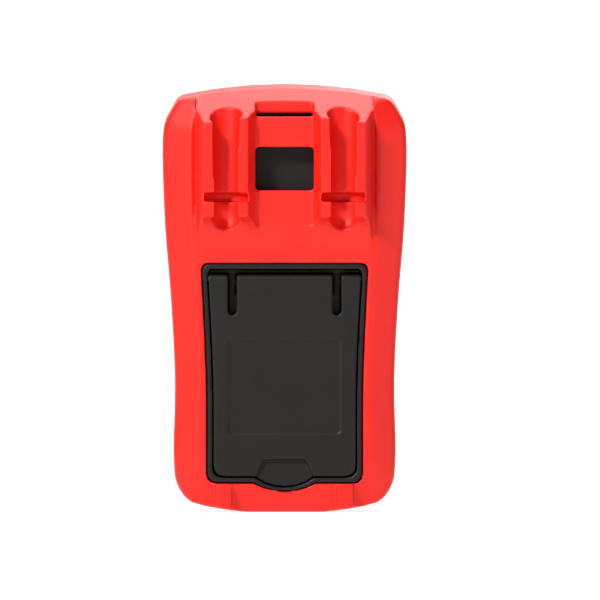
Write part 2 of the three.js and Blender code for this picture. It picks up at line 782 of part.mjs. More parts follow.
function wiperCarrier() {
  const [y0, y1] = [boardFront + 1.9, boardFront + 4.3];
  const disc = rod("Y", selector.carrierR, y0, y1, 0, 0, 36);
  const pocket = box(-1.5, 1.5, y0 - PAST, y1 + PAST, selector.carrierR - 4.2, selector.carrierR + PAST);
  return disc.subtract(rod("Y", selector.stemR - 2 + GAP, y0 - PAST, y1 + PAST, 0, 0, 20)).subtract(pocket);
}

// A sprung bridge that wipes an arc of the board's tracks.
function wiper(radius, spread) {
  const arc = new THREE.Shape();
  arc.absarc(0, 0, radius + 0.8, -spread / 2, spread / 2, false);
  arc.absarc(0, 0, radius - 0.8, spread / 2, -spread / 2, true);
  arc.closePath();
  return sweep("Y", arc, boardFront + GAP, boardFront + 1.6, 5);
}

// A ball and its spring, pushed outwards from the carrier's pocket against the detent ring.
const detentY = boardFront + 3.1;
const detentBall = () => solid(new THREE.SphereGeometry(1.1, 12, 8));
const detentSpring = () => rod("Z", 0.9, 0, 2.2, 0, 0, 10);

function keyHole(x) {
  const [hx, hz] = [key.half + GAP, key.halfZ + GAP];
  const outline = roundedRect(x - hx, x + hx, key.z - hz, key.z + hz, 1.8);
  return sweep("Y", outline, faceBackY - PAST, faceY + PAST);
}

const switchTop = onBoard + 2.9;

function keyCap() {
  const crown = faceY + key.proud;
  const cap = roundedRect(-key.half, key.half, -key.halfZ, key.halfZ, 1.5);
  const top = roundedRect(-key.half + 0.5, key.half - 0.5, -key.halfZ + 0.5, key.halfZ - 0.5, 1.2);
  const flange = roundedRect(-key.half - 1.1, key.half + 1.1, -key.halfZ - 0.9, key.halfZ + 0.9, 1);
  return joined([
    sweep("Y", cap, faceBackY - 1, crown - 0.5),
    sweep("Y", top, crown - PAST, crown),
    sweep("Y", flange, faceBackY - 1.5, faceBackY - GAP, 1),
    rod("Y", 1.2, switchTop + key.travel + 0.2, faceBackY, 0, 0, 10),
  ]);
}

function tactSwitch() {
  return box(-3, 3, onBoard, onBoard + 2.4, -3, 3).add(
    rod("Y", 1.6, onBoard + 2, switchTop, 0, 0, 14),
  );
}

// The moulded collar round a jack, and the sprung sleeve that takes a 4 mm plug.
function jackCollar() {
  const crown = faceY + jack.proud;
  const bore = jack.sleeveR + GAP;
  return turned(
    [
      [bore, boardFront + GAP],
      [jack.tubeR, boardFront + GAP],
      [jack.tubeR, faceY - 4.5],
      [jack.collarR, faceY - 4.5],
      [jack.collarR, crown - 0.4],
      [jack.collarR - 0.4, crown],
      [bore, crown],
      [bore, boardFront + GAP],
    ],
    "Y",
    24,
  );
}

function jackSleeve() {
  const back = bay.floorY + bay.wall + 0.7;
  return turned(
    [
      [jack.boreR, back],
      [jack.sleeveR, back],
      [jack.sleeveR, faceY - 0.8],
      [jack.boreR, faceY - 0.8],
      [jack.boreR, back],
    ],
    "Y",
    20,
  );
}

// ---- Assembly -----------------------------------------------------------------------------------
const tester = new THREE.Group();
tester.add(
  part("holster", holster(), redShell),
  part("rear_housing", rearHousing(), darkShell),
  part("front_housing", frontHousing(), darkShell),
  part("tilt_stand", tiltStand(), darkShell),
  part("battery_door", batteryDoor(), darkShell),
  part("display_window", displayWindow(), clearLens, 0, 0, display.z),
  part("face_overlay", faceOverlay(), greyKey),
  part("circuit_board", circuitBoard(), greenBoard),
);

const doorScrew = screw(2.4, 0.7, 1.1, 5);
tester.add(part("battery_door_screw", doorScrew, steel, 0, standFloorY + 0.05, door.screwZ));
posts.forEach(({ x, z }, i) => {
  const name = `case_screw_${i + 1}`;
  tester.add(part(name, screw(2.4, 2, 1.2, 14), steel, x, rearFaceY + caseWall + 0.5, z));
});

// Cells: the left one has its nub up, the right one is turned over.
const cellY = bay.floorY - GAP - cell.r;
const plateThick = 0.4;
const lowPlate = bay.low + GAP;
const highPlate = bay.high - GAP - plateThick;
const leftCell = part("battery_cell_left", batteryCell(), steel, -cellX, cellY);
leftCell.position.z = highPlate - GAP - cell.length;
const rightCell = part("battery_cell_right", batteryCell(), steel, cellX, cellY);
rightCell.rotation.x = Math.PI;
rightCell.position.z = lowPlate + plateThick + GAP + cell.length;
const leftCoil = part("coil_contact_left", coilContact(), steel, -cellX, cellY);
leftCoil.position.z = lowPlate + plateThick + 0.1;
const rightCoil = part("coil_contact_right", coilContact(), steel, cellX, cellY);
rightCoil.rotation.x = Math.PI;
rightCoil.position.z = highPlate - 0.1;
const halfPlate = box(-4.2, 4.2, -4.5, 4.5, 0, plateThick);
const linkPlate = box(-cellX - 4.2, cellX + 4.2, -4.5, 4.5, 0, plateThick);
tester.add(
  leftCell,
  rightCell,
  leftCoil,
  rightCoil,
  part("contact_plate_left", halfPlate, steel, -cellX, cellY, lowPlate),
  part("contact_plate_right", halfPlate, steel, cellX, cellY, lowPlate),
  part("contact_plate_link", linkPlate, steel, 0, cellY, highPlate),
);

tester.add(
  part("lcd_frame", lcdFrame(), whitePlastic, 0, 0, display.z),
  part("lcd_glass", lcdGlass(), clearLens, 0, 0, display.z),
  part("lcd_backlight", backlight(), whitePlastic, 0, 0, display.z),
  part("contact_strip_upper", contactStrip(), redShell, 0, 0, display.z + display.halfZ - 2),
  part("contact_strip_lower", contactStrip(), redShell, 0, 0, display.z - display.halfZ + 2),
  part("buzzer", buzzer(), darkShell, 17, boardY - GAP - 5, display.z + 2),
  part("measuring_chip", box(-6, 6, -1.4, 0, -6, 6), darkShell, -12, boardY - GAP, display.z),
  part("fuse", fuse(), whitePlastic, -21.5, boardY - 4, 36),
  part("fuse_clip_lower", fuseClip(), brass, -21.5, boardY - 4, 38.5),
  part("fuse_clip_upper", fuseClip(), brass, -21.5, boardY - 4, 53.5),
);

// The knob and all that turns with it.
const turning = new THREE.Group();
turning.position.set(0, 0, selector.z);
turning.add(
  part("selector_knob", selectorKnob(), darkKnob),
  part("wiper_carrier", wiperCarrier(), whitePlastic),
  part("detent_ball", detentBall(), steel, 0, detentY, selector.carrierR + 0.3),
  part("detent_spring", detentSpring(), steel, 0, detentY, selector.carrierR - 3.6),
);
[7, 10].forEach((radius, i) => {
  turning.add(part(`wiper_${i + 1}`, wiper(radius, 0.9), brass));
});
tester.add(turning);

keyPlaces.forEach((x, i) => {
  tester.add(
    part(`key_${i + 1}`, keyCap(), greyKey, x, 0, key.z),
    part(`key_switch_${i + 1}`, tactSwitch(), darkShell, x, 0, key.z),
  );
});

const jackNames = ["amp", "com", "volt"];
jackPlaces.forEach((x, i) => {
  const colour = jackNames[i] === "com" ? darkKnob : redShell;
  tester.add(
    part(`jack_collar_${jackNames[i]}`, jackCollar(), colour, x, 0, jack.z),
    part(`jack_sleeve_${jackNames[i]}`, jackSleeve(), brass, x, 0, jack.z),
  );
});

export default tester;
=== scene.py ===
# %% [markdown]
# # A palm-size electrical tester, seen from behind
# The tester is a dark two-part case inside a red moulded holster. The holster carries two probe
# holders and a strap bar, and leaves an opening for the case's tilt stand. This lesson dresses the
# engineering model of the tester: it rounds the moulded edges, gives each piece the finish of its
# real material, prints the dial, and lights the whole like a small product on a white table.
# The engineering model comes in as a fixed frame. Nothing in it is moved or resized here.

# %% Load the frame
import json
import math

import bmesh
import bpy
from mathutils import Matrix, Vector


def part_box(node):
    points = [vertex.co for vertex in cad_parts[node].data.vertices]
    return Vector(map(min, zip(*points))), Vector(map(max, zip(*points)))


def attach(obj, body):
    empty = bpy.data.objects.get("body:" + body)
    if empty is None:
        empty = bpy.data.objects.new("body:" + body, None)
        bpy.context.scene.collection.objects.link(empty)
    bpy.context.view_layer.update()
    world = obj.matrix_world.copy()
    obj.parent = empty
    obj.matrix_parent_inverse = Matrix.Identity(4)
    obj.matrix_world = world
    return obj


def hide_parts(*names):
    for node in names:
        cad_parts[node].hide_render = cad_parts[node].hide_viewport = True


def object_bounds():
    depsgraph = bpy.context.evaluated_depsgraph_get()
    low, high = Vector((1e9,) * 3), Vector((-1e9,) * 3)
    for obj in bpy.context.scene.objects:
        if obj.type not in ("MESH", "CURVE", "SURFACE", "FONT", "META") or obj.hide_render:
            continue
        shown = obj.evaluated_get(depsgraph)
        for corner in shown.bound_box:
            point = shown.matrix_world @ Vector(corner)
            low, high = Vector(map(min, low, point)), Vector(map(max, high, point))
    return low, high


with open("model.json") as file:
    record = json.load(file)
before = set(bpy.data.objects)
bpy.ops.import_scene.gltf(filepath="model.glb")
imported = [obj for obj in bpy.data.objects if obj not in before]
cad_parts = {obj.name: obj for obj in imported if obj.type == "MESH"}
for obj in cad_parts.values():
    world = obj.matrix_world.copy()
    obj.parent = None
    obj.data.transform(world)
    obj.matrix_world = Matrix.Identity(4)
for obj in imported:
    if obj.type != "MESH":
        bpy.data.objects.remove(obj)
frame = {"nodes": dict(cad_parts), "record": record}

cad_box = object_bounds()
MM = 0.001
size_mm = [round((high - low) / MM, 1) for low, high in zip(*cad_box)]
print("engineering model:", len(frame["nodes"]), "nodes,", size_mm, "mm")

# %% [markdown]
# ## Camera
# The view is square on to the back. A product shot like this is taken from well back with a long
# lens, so that the sides don't lean in. Only the ratio of lens to distance sets how large the
# tester looks, so the distance is chosen first and the lens follows from it. The tester stands a
# little left of the middle of the square picture.

# %% Camera
SENSOR = 36.0  # mm, the width of a full-frame sensor
DISTANCE = 4.0  # metres from the middle of the tester
PICTURE_SIDE = 187.9 * MM  # how much of the world the square picture takes in
AIM = Vector((4.8, 0.0, 66.2)) * MM

camera = bpy.data.objects.new("camera", bpy.data.cameras.new("camera"))
bpy.context.scene.collection.objects.link(camera)
camera.data.sensor_width = SENSOR
camera.data.lens = SENSOR * DISTANCE / PICTURE_SIDE
camera.location = AIM - Vector((0.0, DISTANCE, 0.0))
camera.rotation_euler = (math.radians(90), 0.0, 0.0)
bpy.context.scene.camera = camera
bpy.context.scene.view_settings.view_transform = "Standard"
print("lens", round(camera.data.lens), "mm at", DISTANCE, "m")

# %% [markdown]
# ## Helpers for materials
# Paint charts give colours as sRGB hex codes, but a shader works on linear light, so one function
# turns the first into the second. A second function adds a shader node. Its settings are words:
# one that starts with a capital is an input of the node and takes a value or another node's
# output, and one in small letters is a choice that belongs to the node itself. Each material then
# reads like a recipe.

# %% Colour and node helpers
def linear(code):
    """An sRGB code such as "#e02020" as linear red, green, blue and alpha."""
    shares = [int(code[i : i + 2], 16) / 255 for i in (1, 3, 5)]
    return [s / 12.92 if s <= 0.04045 else ((s + 0.055) / 1.055) ** 2.4 for s in shares] + [1.0]


def add(tree, kind, **settings):
    """Adds a node, sets its choices and inputs, and links the inputs given as outputs."""
    node = tree.nodes.new(kind)
    for word, value in sorted(settings.items(), key=lambda item: item[0][0].isupper()):
        if word[0].islower():
            setattr(node, word, value)
            continue
        socket = next(s for s in node.inputs if word in (s.identifier, s.name.replace(" ", "_")))
        if isinstance(value, bpy.types.NodeSocket):
            tree.links.new(value, socket)
        else:
            socket.default_value = value
    return node


def new_material(name, **shader_values):
    """A material with its node tree and its one shader, whose even values are set here."""
    material = bpy.data.materials.new(name)
    material.use_nodes = True
    shader = material.node_tree.nodes["Principled BSDF"]
    for word, value in shader_values.items():
        shader.inputs[word.replace("_", " ")].default_value = value
    return material, material.node_tree, shader


def per_metre(width_mm):
    """The scale at which a pattern's features are that many millimetres wide."""
    return 1.0 / (width_mm * MM)


def colour_steps(ramp, stops):
    """Gives a colour ramp its stops, as places from 0 to 1 and sRGB codes."""
    elements = ramp.color_ramp.elements
    while len(elements) < len(stops):
        elements.new(0.5)
    for element, (place, code) in zip(elements, stops):
        element.position = place
        element.color = linear(code)


print("mid grey #808080 is", round(linear("#808080")[0], 3), "in linear light")

# %% [markdown]
# ## Moulded plastic
# Nearly every outer piece is injection moulded. The steel mould is spark eroded, which leaves a
# sandy grain of about 0.1 mm on the plastic. That is too fine to show from here, so it is drawn at
# a third of a millimetre. Handling dulls flat faces unevenly. Corners are painted lighter, partly for
# the wear of handling and partly as a painted highlight along the rounded edges.
# One recipe serves every moulding. A slow noise drifts the colour between a deep and a pale tone.
# The lighter corners come from comparing the true normal with one averaged over a small radius: where
# the two differ, the surface turns sharply, and the colour runs to the tone of wear and painted
# highlight. The grain goes in as a bump, and roughness wanders with the same slow noise.

# %% The moulded recipe
GRAIN = 0.33  # mm, how wide the mould's grain is drawn
GRAIN_HEIGHT = 0.012  # mm
DRIFT = 14  # mm, how wide the slow patches of tone are
CORNER = 0.5  # mm, how near a corner the painted highlight and the wear reach


def moulded(name, deep, pale, worn_and_highlit, roughness, grain=GRAIN, grain_height=GRAIN_HEIGHT, **even):
    """An injection moulded plastic, whose colour runs from deep to pale, and at corners to a lighter
    tone that is wear and painted highlight together.
    """
    material, tree, shader = new_material(name, **even)
    place = add(tree, "ShaderNodeTexCoord").outputs["Object"]
    drift = add(tree, "ShaderNodeTexNoise", Vector=place, Scale=per_metre(DRIFT), Detail=4.0)
    sand = add(tree, "ShaderNodeTexNoise", Vector=place, Scale=per_metre(grain), Detail=2.0)
    rounded = add(tree, "ShaderNodeBevel", samples=4, Radius=CORNER * MM).outputs["Normal"]
    true = add(tree, "ShaderNodeNewGeometry").outputs["Normal"]
    likeness = add(
        tree, "ShaderNodeVectorMath", operation="DOT_PRODUCT", Vector=rounded, Vector_001=true
    )
    # Corner mask: where the normals part, the colour runs to the lighter tone, partly wear and partly
    # a painted highlight.
    rub_and_highlight = add(
        tree, "ShaderNodeMapRange",
        Value=likeness.outputs["Value"], From_Min=0.998, From_Max=0.82, To_Max=0.6,
    )
    tone = add(
        tree, "ShaderNodeMath", operation="MULTIPLY_ADD",
        Value=drift.outputs["Fac"], Value_001=0.5, Value_002=rub_and_highlight.outputs["Result"],
    )
    ramp = add(tree, "ShaderNodeValToRGB", Fac=tone.outputs["Value"])
    colour_steps(ramp, [(0.1, deep), (0.45, pale), (1.0, worn_and_highlit)])
    sheen = add(
        tree, "ShaderNodeMapRange",
        Value=drift.outputs["Fac"], To_Min=roughness - 0.06, To_Max=roughness + 0.06,
    )
    bump = add(
        tree, "ShaderNodeBump",
        Strength=0.5, Distance=grain_height * MM, Height=sand.outputs["Fac"],
    )
    tree.links.new(ramp.outputs["Color"], shader.inputs["Base Color"])
    tree.links.new(sheen.outputs["Result"], shader.inputs["Roughness"])
    tree.links.new(bump.outputs["Normal"], shader.inputs["Normal"])
    return material


print("grain drawn", GRAIN, "mm wide, a noise scale of", round(per_metre(GRAIN)))

# %% [markdown]
# The holster is a soft thermoplastic elastomer: bright red, satin, with a slightly waxy look.
# The case and the stand are ABS, the stand with the coarser texture. The keys are silicone rubber,
# which is matt. The knob and the jack collars are nylon, a little glossier.

# %% The moulded finishes
# The third colour of each moulding is its corner tone: wear and painted highlight together.
finishes = {
    "red_holster": moulded(
        "red elastomer", "#dd1507", "#e71b0b", "#fb5b4b", 0.48, Specular_IOR_Level=0.35
    ),
    "dark_case": moulded(
        "charcoal ABS", "#110e0d", "#151110", "#383432", 0.46, Specular_IOR_Level=0.28
    ),
    "dark_stand": moulded(
        "textured charcoal ABS", "#120e0c", "#171210", "#332f2d", 0.5,
        grain=0.4, grain_height=0.02, Specular_IOR_Level=0.28,
    ),
    "white_moulding": moulded("white ABS", "#dedbd2", "#e6e4dc", "#f0efe9", 0.45),
    "black_component": moulded("epoxy moulding compound", "#141416", "#1b1b1d", "#2a2a2c", 0.6),
    "dark_knob": moulded("glass-filled nylon", "#232222", "#2a2929", "#444241", 0.4),
    "grey_key": moulded("silicone rubber", "#83868a", "#8c8f93", "#a3a6a9", 0.65, IOR=1.41),
    "dark_collar": moulded("black nylon", "#151515", "#1b1b1b", "#333333", 0.35),
    "red_collar": moulded("red nylon", "#c81e1a", "#d2231e", "#e5514a", 0.35),
}
print(len(finishes), "moulded finishes")

# %% [markdown]
# ## Metals
# A metal has no colour of its own under its reflections: the base colour is what it reflects. The
# screws are zinc-plated steel, turned and then tumbled, with fine circular marks that show as
# uneven roughness. The cells' contacts are nickel plate and the jacks and clips are brass, which
# tarnishes in brown patches. All keep the default IOR.

# %% The metal recipe
def metal(name, bright, tarnished, roughness, mark_mm):
    """A plated or bare metal, brighter where it was rubbed, with fine working marks."""
    material, tree, shader = new_material(name, Metallic=1.0)
    place = add(tree, "ShaderNodeTexCoord").outputs["Object"]
    patches = add(tree, "ShaderNodeTexNoise", Vector=place, Scale=per_metre(3.5), Detail=5.0)
    marks = add(tree, "ShaderNodeTexNoise", Vector=place, Scale=per_metre(mark_mm), Detail=3.0)
    ramp = add(tree, "ShaderNodeValToRGB", Fac=patches.outputs["Fac"])
    colour_steps(ramp, [(0.35, tarnished), (0.6, bright)])
    gloss = add(
        tree, "ShaderNodeMapRange",
        Value=marks.outputs["Fac"], From_Min=0.3, From_Max=0.7, To_Min=roughness - 0.08,
        To_Max=roughness + 0.12,
    )
    tree.links.new(ramp.outputs["Color"], shader.inputs["Base Color"])
    tree.links.new(gloss.outputs["Result"], shader.inputs["Roughness"])
    return material


finishes["steel_screw"] = metal("zinc-plated steel", "#b9babd", "#97989b", 0.3, 0.2)
finishes["nickel_contact"] = metal("nickel plate", "#c9c5bb", "#aba79c", 0.22, 0.3)
finishes["brass_contact"] = metal("sprung brass", "#d0ab5c", "#a5823e", 0.27, 0.3)
print("metals:", [finish.name for finish in list(finishes.values())[-3:]])

# %% [markdown]
# ## Clear and printed surfaces
# The display window is cast acrylic: clear, glossy, with hairline scratches that only change how
# sharp its reflections are. The sheet around the knob is polycarbonate film with a fine matt
# emboss. The display itself is two sheets of glass with a grey-green liquid crystal between them,
# whose cells show as a fine grid.

# %% Window, film and display glass
def clear_acrylic():
    """Cast acrylic, clear and glossy, with hairline scratches along the tester."""
    material, tree, shader = new_material("cast acrylic", IOR=1.49, Transmission_Weight=1.0)
    place = add(tree, "ShaderNodeTexCoord").outputs["Object"]
    along = add(tree, "ShaderNodeMapping", Vector=place, Scale=(1.0, 1.0, 0.08))
    hairs = add(tree, "ShaderNodeTexNoise", Vector=along.outputs["Vector"], Scale=per_metre(0.5))
    gloss = add(
        tree, "ShaderNodeMapRange",
        Value=hairs.outputs["Fac"], From_Min=0.55, From_Max=0.8, To_Min=0.02, To_Max=0.12,
    )
    tint = add(tree, "ShaderNodeValToRGB", Fac=hairs.outputs["Fac"])
    colour_steps(tint, [(0.3, "#f4f7f6"), (0.8, "#fbfdfc")])
    tree.links.new(gloss.outputs["Result"], shader.inputs["Roughness"])
    tree.links.new(tint.outputs["Color"], shader.inputs["Base Color"])
    return material


def embossed_film():
    """Printed polycarbonate, matt from an emboss that is drawn 0.4 mm wide."""
    material, tree, shader = new_material("embossed polycarbonate film", IOR=1.58, Roughness=0.48)
    place = add(tree, "ShaderNodeTexCoord").outputs["Object"]
    cells = add(tree, "ShaderNodeTexVoronoi", Vector=place, Scale=per_metre(0.4))
    ink = add(tree, "ShaderNodeTexNoise", Vector=place, Scale=per_metre(9), Detail=4.0)
    ramp = add(tree, "ShaderNodeValToRGB", Fac=ink.outputs["Fac"])
    colour_steps(ramp, [(0.3, "#4a4d51"), (0.7, "#53565a")])
    bump = add(
        tree, "ShaderNodeBump", Strength=0.4, Distance=0.01 * MM, Height=cells.outputs["Distance"]
    )
    tree.links.new(ramp.outputs["Color"], shader.inputs["Base Color"])
    tree.links.new(bump.outputs["Normal"], shader.inputs["Normal"])
    return material


def crystal_glass():
    """Grey-green liquid crystal under glass, in a fine grid of cells."""
    material, tree, shader = new_material(
        "liquid crystal glass", IOR=1.52, Roughness=0.25, Coat_Weight=0.6, Coat_Roughness=0.05
    )
    place = add(tree, "ShaderNodeTexCoord").outputs["Object"]
    grid = add(tree, "ShaderNodeTexBrick", Vector=place, offset=0.0, Scale=per_metre(1.4))
    grid.inputs["Color1"].default_value = linear("#8f9a86")
    grid.inputs["Color2"].default_value = linear("#949f8b")
    grid.inputs["Mortar"].default_value = linear("#8a9581")
    tree.links.new(grid.outputs["Color"], shader.inputs["Base Color"])
    return material


finishes["clear_window"] = clear_acrylic()
finishes["overlay_film"] = embossed_film()
finishes["display_glass"] = crystal_glass()
print("clear and printed:", [finish.name for finish in list(finishes.values())[-3:]])

# %% [markdown]
# ## Inside the case
# The circuit board is glass cloth in epoxy under a green solder mask, and the weave shows faintly
# through the mask. The cells wear a plain shrunk sleeve, green with a pale band at the top. The
# elastic strips that join the display to the board are silicone with thin dark layers that conduct.
# The fuse is a ceramic tube with plated caps. The closed case hides these, but each still starts
# from what it is, for whoever opens the model.

# %% Board, cells, strips and fuse
def solder_mask():
    """Green solder mask over glass cloth, whose weave is drawn 0.5 mm wide."""
    material, tree, shader = new_material("green solder mask", IOR=1.55, Coat_Weight=0.3)
    place = add(tree, "ShaderNodeTexCoord").outputs["Object"]
    weave = add(tree, "ShaderNodeTexChecker", Vector=place, Scale=per_metre(0.5))
    weave.inputs["Color1"].default_value = linear("#1c5a38")
    weave.inputs["Color2"].default_value = linear("#1f613d")
    blotch = add(tree, "ShaderNodeTexNoise", Vector=place, Scale=per_metre(6))
    gloss = add(tree, "ShaderNodeMapRange", Value=blotch.outputs["Fac"], To_Min=0.2, To_Max=0.45)
    tree.links.new(weave.outputs["Color"], shader.inputs["Base Color"])
    tree.links.new(gloss.outputs["Result"], shader.inputs["Roughness"])
    return material


def banded(name, first_mm, band_mm, stops, **shader_values):
    """A finish in rings along the tester: stops are placed over band_mm from first_mm up."""
    material, tree, shader = new_material(name, **shader_values)
    place = add(tree, "ShaderNodeTexCoord").outputs["Object"]
    height = add(tree, "ShaderNodeSeparateXYZ", Vector=place).outputs["Z"]
    share = add(
        tree, "ShaderNodeMapRange",
        Value=height, From_Min=first_mm * MM, From_Max=(first_mm + band_mm) * MM,
    )
    ramp = add(tree, "ShaderNodeValToRGB", Fac=share.outputs["Result"])
    ramp.color_ramp.interpolation = "CONSTANT"
    colour_steps(ramp, stops)
    print_noise = add(tree, "ShaderNodeTexNoise", Vector=place, Scale=per_metre(1.2))
    gloss = add(tree, "ShaderNodeMapRange", Value=print_noise.outputs["Fac"], To_Min=0.2, To_Max=0.4)
    tree.links.new(ramp.outputs["Color"], shader.inputs["Base Color"])
    tree.links.new(gloss.outputs["Result"], shader.inputs["Roughness"])
    return material


def silicone_strip():
    """Layers of 0.1 mm in the real strip, drawn 0.8 mm wide so that they show."""
    material, tree, shader = new_material("layered silicone strip", IOR=1.41, Roughness=0.6)
    place = add(tree, "ShaderNodeTexCoord").outputs["Object"]
    layers = add(tree, "ShaderNodeTexWave", Vector=place, bands_direction="X", Scale=per_metre(5.0))
    ramp = add(tree, "ShaderNodeValToRGB", Fac=layers.outputs["Fac"])
    colour_steps(ramp, [(0.4, "#d9a9a4"), (0.6, "#2b2728")])
    tree.links.new(ramp.outputs["Color"], shader.inputs["Base Color"])
    return material


cell_low, cell_high = (corner.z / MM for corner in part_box("battery_cell_left"))
fuse_low, fuse_high = (corner.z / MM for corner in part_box("fuse"))
finishes["circuit_laminate"] = solder_mask()
finishes["cell_jacket"] = banded(
    "printed shrink sleeve", cell_low, cell_high - cell_low,
    [(0.0, "#b9b9b9"), (0.03, "#3d5c4c"), (0.8, "#d6d4ca"), (0.95, "#b9b9b9")],
)
finishes["fuse_ceramic"] = banded(
    "glazed fuse tube", fuse_low, fuse_high - fuse_low,
    [(0.0, "#c2beb4"), (0.25, "#ece7da"), (0.75, "#c2beb4")], IOR=1.6,
)
finishes["silicone_strip"] = silicone_strip()

# %% [markdown]
# ## Finishing the engineering pieces
# Every node of the model already knows which finish it should have: the record names a slot for
# each. Giving all of them their finish first means that whatever isn't remade below is dressed too.

# %% Dress every node
slot_of = {part["node"]: part["material_slot"] for part in frame["record"]["subparts"]}
bodies = frame["record"]["behaviour"]["bodies"]
body_of = {node: body for body, nodes in bodies.items() for node in nodes}
for node, piece in frame["nodes"].items():
    for held in piece.material_slots:
        held.material = finishes[slot_of[node]]
print("dressed", len(slot_of), "nodes")

# %% [markdown]
# ## Rounding the mouldings
# A moulding has no sharp edges: the tool is cut with a small radius everywhere, and that radius is
# what catches the light. The engineering pieces are sharp. Bevelling them edge by edge would fail
# where cuts cross at odd angles, so each is recast instead: a voxel remesh rebuilds it as an even
# skin, a few rounds of smoothing melt its edges to about the size of a voxel or two, and a
# decimation takes the spare faces back out of the flats. The walls of the holster were drawn with
# few facets, so its sides and crown get many extra rounds, by a weight painted on the points.

# %% Recast a node as a moulding
WELD = 0.005  # mm, points nearer than this are one point
WALL_ROUNDS = 40


def show(piece, material, body):
    """Links a new piece into the scene, on its body, with its finish."""
    if not piece.users_scene:
        bpy.context.scene.collection.objects.link(piece)
    if material not in list(piece.data.materials):
        piece.data.materials.clear()
        piece.data.materials.append(material)
    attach(piece, body)


def settle(piece):
    """Applies a piece's modifiers."""
    evaluated = piece.evaluated_get(bpy.context.evaluated_depsgraph_get())
    mesh = bpy.data.meshes.new_from_object(evaluated)
    piece.modifiers.clear()
    piece.data = mesh
    return mesh


def recast(node, voxel_mm, rounds, most_triangles, wall=None):
    """A rounded copy of a node. wall(co) gives 0 to 1, the share of extra smoothing at a point."""
    piece = bpy.data.objects.new(node + "_moulded", frame["nodes"][node].data.copy())
    bpy.context.scene.collection.objects.link(piece)
    piece.modifiers.new("weld", "WELD").merge_threshold = WELD * MM
    remesh = piece.modifiers.new("recast", "REMESH")
    remesh.mode = "VOXEL"
    remesh.voxel_size = voxel_mm * MM
    soften = piece.modifiers.new("soften", "SMOOTH")
    soften.factor = 0.5
    soften.iterations = rounds
    mesh = settle(piece)
    if wall:
        group = piece.vertex_groups.new(name="wall")
        for vertex in mesh.vertices:
            group.add([vertex.index], wall(vertex.co / MM), "REPLACE")
        even = piece.modifiers.new("even", "SMOOTH")
        even.factor = 0.5
        even.iterations = WALL_ROUNDS
        even.vertex_group = "wall"
    triangles = 2 * len(mesh.polygons)
    if triangles > most_triangles:
        piece.modifiers.new("spare", "DECIMATE").ratio = most_triangles / triangles
    mesh = settle(piece)
    mesh.shade_smooth()
    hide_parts(node)
    show(piece, finishes[slot_of[node]], body_of[node])
    kept = sum(len(polygon.vertices) - 2 for polygon in mesh.polygons)
    print(node, "recast:", triangles, "->", kept, "triangles")


# %% [markdown]
# The holster is the largest piece and has the coarsest voxels, a little under half a millimetre.
# Small pieces have finer ones, down to the keys. What the hand meets gets three rounds of smoothing,
# and the case and the battery door get two.

# %% The holster and the other mouldings
SIDE_START = 29.5  # mm from the middle, where a side's extra smoothing starts
CROWN_START = 126  # mm up
CROWN_BACK = -4  # mm along Y, behind which the crown gets none
FADE = 3  # mm over which it grows to its full strength


def outer_wall(co):
    """1 on the holster's walls, shoulders and crown, fading to 0 where its back starts."""
    side = (abs(co.x) - SIDE_START) / FADE
    crown = min((co.z - CROWN_START) / FADE, (co.y - CROWN_BACK) / FADE)
    return max(0.0, min(1.0, max(side, crown)))


recast("holster", voxel_mm=0.45, rounds=3, most_triangles=150000, wall=outer_wall)
recast("tilt_stand", voxel_mm=0.28, rounds=3, most_triangles=90000)
recast("rear_housing", voxel_mm=0.42, rounds=2, most_triangles=90000)
recast("front_housing", voxel_mm=0.4, rounds=2, most_triangles=100000)
recast("battery_door", voxel_mm=0.3, rounds=2, most_triangles=40000)
recast("selector_knob", voxel_mm=0.22, rounds=3, most_triangles=60000)
for number in range(1, 5):
    recast(f"key_{number}", voxel_mm=0.16, rounds=3, most_triangles=12000)

# %% [markdown]
# ## Turned pieces
# A jack is a moulded collar around a sprung brass sleeve that takes a 4 mm plug. Both are round, so
# each is spun from a profile: a ring of points for each step of the profile, joined by faces. The
# engineering pieces have 24 flats, which a close look shows, and these have 96. The corners of a
# profile are rounded before it is spun, which costs less than a bevel on the finished ring.

# %% Spin a profile
SPIN_STEPS = 96


def spun(name, profile_mm, centre):
    """A ring spun about an axis along Y from a closed profile of (radius, depth) in millimetres."""
    mesh = bpy.data.meshes.new(name)
    rings = bmesh.new()
    turns = [math.tau * step / SPIN_STEPS for step in range(SPIN_STEPS)]
    grid = [
        [
            rings.verts.new((centre.x + r * MM * math.cos(a), y * MM, centre.z + r * MM * math.sin(a)))
            for r, y in profile_mm
        ]
        for a in turns
    ]
    for here, beyond in zip(grid, grid[1:] + grid[:1]):
        for i in range(len(profile_mm)):
            j = (i + 1) % len(profile_mm)
            rings.faces.new((here[i], here[j], beyond[j], beyond[i]))
    bmesh.ops.recalc_face_normals(rings, faces=rings.faces)
    rings.to_mesh(mesh)
    rings.free()
    mesh.shade_smooth()
    return bpy.data.objects.new(name, mesh)


def rounded_profile(corners_mm, radius_mm, steps=5):
    """A closed profile whose corners are rounded, or cut evenly where an edge is short."""
    points = []
    count = len(corners_mm)
    for i, corner in enumerate(corners_mm):
        corner = Vector(corner)
        before = Vector(corners_mm[i - 1]) - corner
        after = Vector(corners_mm[(i + 1) % count]) - corner
        reach = min(radius_mm, before.length / 2.1, after.length / 2.1)
        start, end = corner + before.normalized() * reach, corner + after.normalized() * reach
        for step in range(steps):
            t = step / (steps - 1)
            points.append(tuple(start * (1 - t) ** 2 + corner * 2 * t * (1 - t) + end * t**2))
    return points


print("a spun ring turns", 360 / SPIN_STEPS, "degrees with each face")

# %% [markdown]
# A collar's section is a dished ring: its crown slopes down towards the hole to lead the plug in,
# and a wider part under the crown can't pull out through the case. The sleeve sits just inside it.
# Both take their place and their length from the engineering pieces that they stand for.

